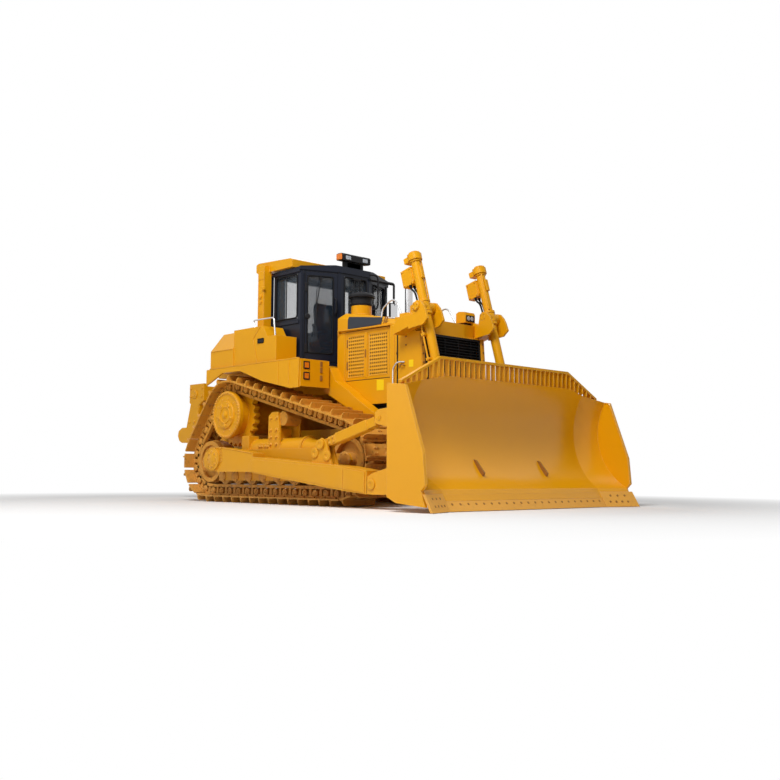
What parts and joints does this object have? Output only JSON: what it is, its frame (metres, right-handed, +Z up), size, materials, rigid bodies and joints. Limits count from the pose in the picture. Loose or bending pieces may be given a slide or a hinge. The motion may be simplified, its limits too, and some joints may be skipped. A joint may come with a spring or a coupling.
{
  "type": "track-type bulldozer",
  "caption": "Tracked bulldozer with semi-U blade on push arms, front lift cylinders, cab with rollover frame, and a parallelogram single-shank ripper.",
  "frame": {"origin": "on the ground, below the middle of the overall length, on the centre line", "axes": "+X forward, +Y to the machine's left, +Z up"},
  "size_m": [8.476, 4.314, 3.97],
  "materials": {
    "yellow_paint": "gloss",
    "dark_paint": "satin",
    "track_steel": "worn",
    "bare_steel": "polished",
    "worn_steel": "worn",
    "tinted_glass": "gloss",
    "cab_plastic": "matte",
    "engine_grey": "satin",
    "exhaust_black": "matte",
    "black_steel": "satin",
    "black_plastic": "satin",
    "seat_cloth": "matte"
  },
  "bodies": {
    "chassis": {"aprons": "yellow_paint", "cab_glass": "tinted_glass", "cab_shell": "dark_paint", "console": "cab_plastic", "engine": "engine_grey", "exhaust_stack": "exhaust_black", "fenders": "yellow_paint", "fuel_tank": "yellow_paint", "grille": "black_steel", "hood": "yellow_paint", "lamps": "black_plastic", "lift_yokes": "yellow_paint", "main_frame": "yellow_paint", "rear_case": "yellow_paint", "platform": "yellow_paint", "pre_cleaner": "black_plastic", "radiator_guard": "yellow_paint", "ripper_bracket": "yellow_paint", "roller_frames": "yellow_paint", "rollover_frame": "yellow_paint", "seat": "seat_cloth", "side_tanks": "yellow_paint", "sprockets": "yellow_paint", "track_left": "track_steel", "track_right": "track_steel", "wheels": "track_steel"},
    "blade": {"moldboard": "yellow_paint", "rock_guard": "yellow_paint", "cutting_edge": "worn_steel", "push_arms": "yellow_paint", "blade_pins": "bare_steel", "brace": "yellow_paint", "tilt_cylinder": "yellow_paint"},
    "lift_barrel_right": {"lift_barrel_right": "yellow_paint"},
    "lift_barrel_left": {"lift_barrel_left": "yellow_paint"},
    "lift_rod_right": {"lift_rod_right": "bare_steel"},
    "lift_rod_left": {"lift_rod_left": "bare_steel"},
    "cab_door_right": {"cab_door_right": "dark_paint", "door_glass_right": "tinted_glass"},
    "cab_door_left": {"cab_door_left": "dark_paint", "door_glass_left": "tinted_glass"},
    "engine_door_right": {"engine_door_right": "yellow_paint"},
    "engine_door_left": {"engine_door_left": "yellow_paint"},
    "ripper_arm": {"ripper_arm": "yellow_paint"},
    "ripper_carriage": {"ripper_carriage": "yellow_paint", "ripper_shank": "worn_steel"},
    "ripper_link": {"ripper_link": "yellow_paint"},
    "ripper_lift_barrel_right": {"ripper_lift_barrel_right": "yellow_paint"},
    "ripper_lift_barrel_left": {"ripper_lift_barrel_left": "yellow_paint"},
    "ripper_lift_rod_right": {"ripper_lift_rod_right": "bare_steel"},
    "ripper_lift_rod_left": {"ripper_lift_rod_left": "bare_steel"}
  },
  "joints": [
    {"name": "blade_lift", "type": "hinge", "parent": "chassis", "child": "blade", "pos_m": [-0.97, 0, 0.68], "axis": [0, -1, 0], "range_deg": [-7.1, 16.1]},
    {"name": "lift_barrel_swing_right", "type": "hinge", "parent": "chassis", "child": "lift_barrel_right", "pos_m": [2.664, -0.69, 2.766], "axis": [0, -1, 0], "range_deg": [-4.2, 9.4]},
    {"name": "lift_rod_slide_right", "type": "slide", "parent": "lift_barrel_right", "child": "lift_rod_right", "axis": [0.2687, 0, -0.9632], "range_m": [-1.156, 0.511]},
    {"name": "lift_barrel_swing_left", "type": "hinge", "parent": "chassis", "child": "lift_barrel_left", "pos_m": [2.664, 0.69, 2.766], "axis": [0, -1, 0], "range_deg": [-4.2, 9.4]},
    {"name": "lift_rod_slide_left", "type": "slide", "parent": "lift_barrel_left", "child": "lift_rod_left", "axis": [0.2687, 0, -0.9632], "range_m": [-1.156, 0.511]},
    {"name": "cab_door_hinge_right", "type": "hinge", "parent": "chassis", "child": "cab_door_right", "pos_m": [0.20092, -0.89195, 2.9], "axis": [0, 0, -1], "range_deg": [0, 110]},
    {"name": "cab_door_hinge_left", "type": "hinge", "parent": "chassis", "child": "cab_door_left", "pos_m": [0.20092, 0.89195, 2.9], "axis": [0, 0, 1], "range_deg": [0, 110]},
    {"name": "engine_door_hinge_right", "type": "hinge", "parent": "chassis", "child": "engine_door_right", "pos_m": [0.933, -0.623, 2.225], "axis": [0, 0, -1], "range_deg": [0, 90]},
    {"name": "engine_door_hinge_left", "type": "hinge", "parent": "chassis", "child": "engine_door_left", "pos_m": [0.933, 0.623, 2.225], "axis": [0, 0, 1], "range_deg": [0, 90]},
    {"name": "ripper_lift", "type": "hinge", "parent": "chassis", "child": "ripper_arm", "pos_m": [-2.411, 0, 0.585], "axis": [0, -1, 0], "range_deg": [0, 75]},
    {"name": "ripper_carriage_level", "type": "hinge", "parent": "ripper_arm", "child": "ripper_carriage", "pos_m": [-3.48021, 0, 1.12979], "axis": [0, -1, 0], "range_deg": [-75.5, 0.5]},
    {"name": "ripper_link_swing", "type": "hinge", "parent": "chassis", "child": "ripper_link", "pos_m": [-2.351, 0, 1.36], "axis": [0, -1, 0], "range_deg": [-0.5, 75.5]},
    {"name": "ripper_barrel_swing_right", "type": "hinge", "parent": "chassis", "child": "ripper_lift_barrel_right", "pos_m": [-2.3, -0.225, 1.25], "axis": [0, -1, 0], "range_deg": [-0.5, 43]},
    {"name": "ripper_rod_slide_right", "type": "slide", "parent": "ripper_lift_barrel_right", "child": "ripper_lift_rod_right", "axis": [-0.9316, 0, -0.3635], "range_m": [-0.001, 0.5725]},
    {"name": "ripper_barrel_swing_left", "type": "hinge", "parent": "chassis", "child": "ripper_lift_barrel_left", "pos_m": [-2.3, 0.225, 1.25], "axis": [0, -1, 0], "range_deg": [-0.5, 43]},
    {"name": "ripper_rod_slide_left", "type": "slide", "parent": "ripper_lift_barrel_left", "child": "ripper_lift_rod_left", "axis": [-0.9316, 0, -0.3635], "range_m": [-0.001, 0.5725]}
  ],
  "couplings": [
    {"joint": "lift_barrel_swing_right", "follows": "blade_lift", "ratio": 0.57949},
    {"joint": "lift_rod_slide_right", "follows": "blade_lift", "m_per_rad": -4.1067},
    {"joint": "lift_barrel_swing_left", "follows": "blade_lift", "ratio": 0.57949},
    {"joint": "lift_rod_slide_left", "follows": "blade_lift", "m_per_rad": -4.1067},
    {"joint": "ripper_carriage_level", "follows": "ripper_lift", "ratio": -1},
    {"joint": "ripper_link_swing", "follows": "ripper_lift", "ratio": 1},
    {"joint": "ripper_barrel_swing_right", "follows": "ripper_lift", "ratio": 0.56658},
    {"joint": "ripper_rod_slide_right", "follows": "ripper_lift", "m_per_rad": 0.43623},
    {"joint": "ripper_barrel_swing_left", "follows": "ripper_lift", "ratio": 0.56658},
    {"joint": "ripper_rod_slide_left", "follows": "ripper_lift", "m_per_rad": 0.43623}
  ]
}
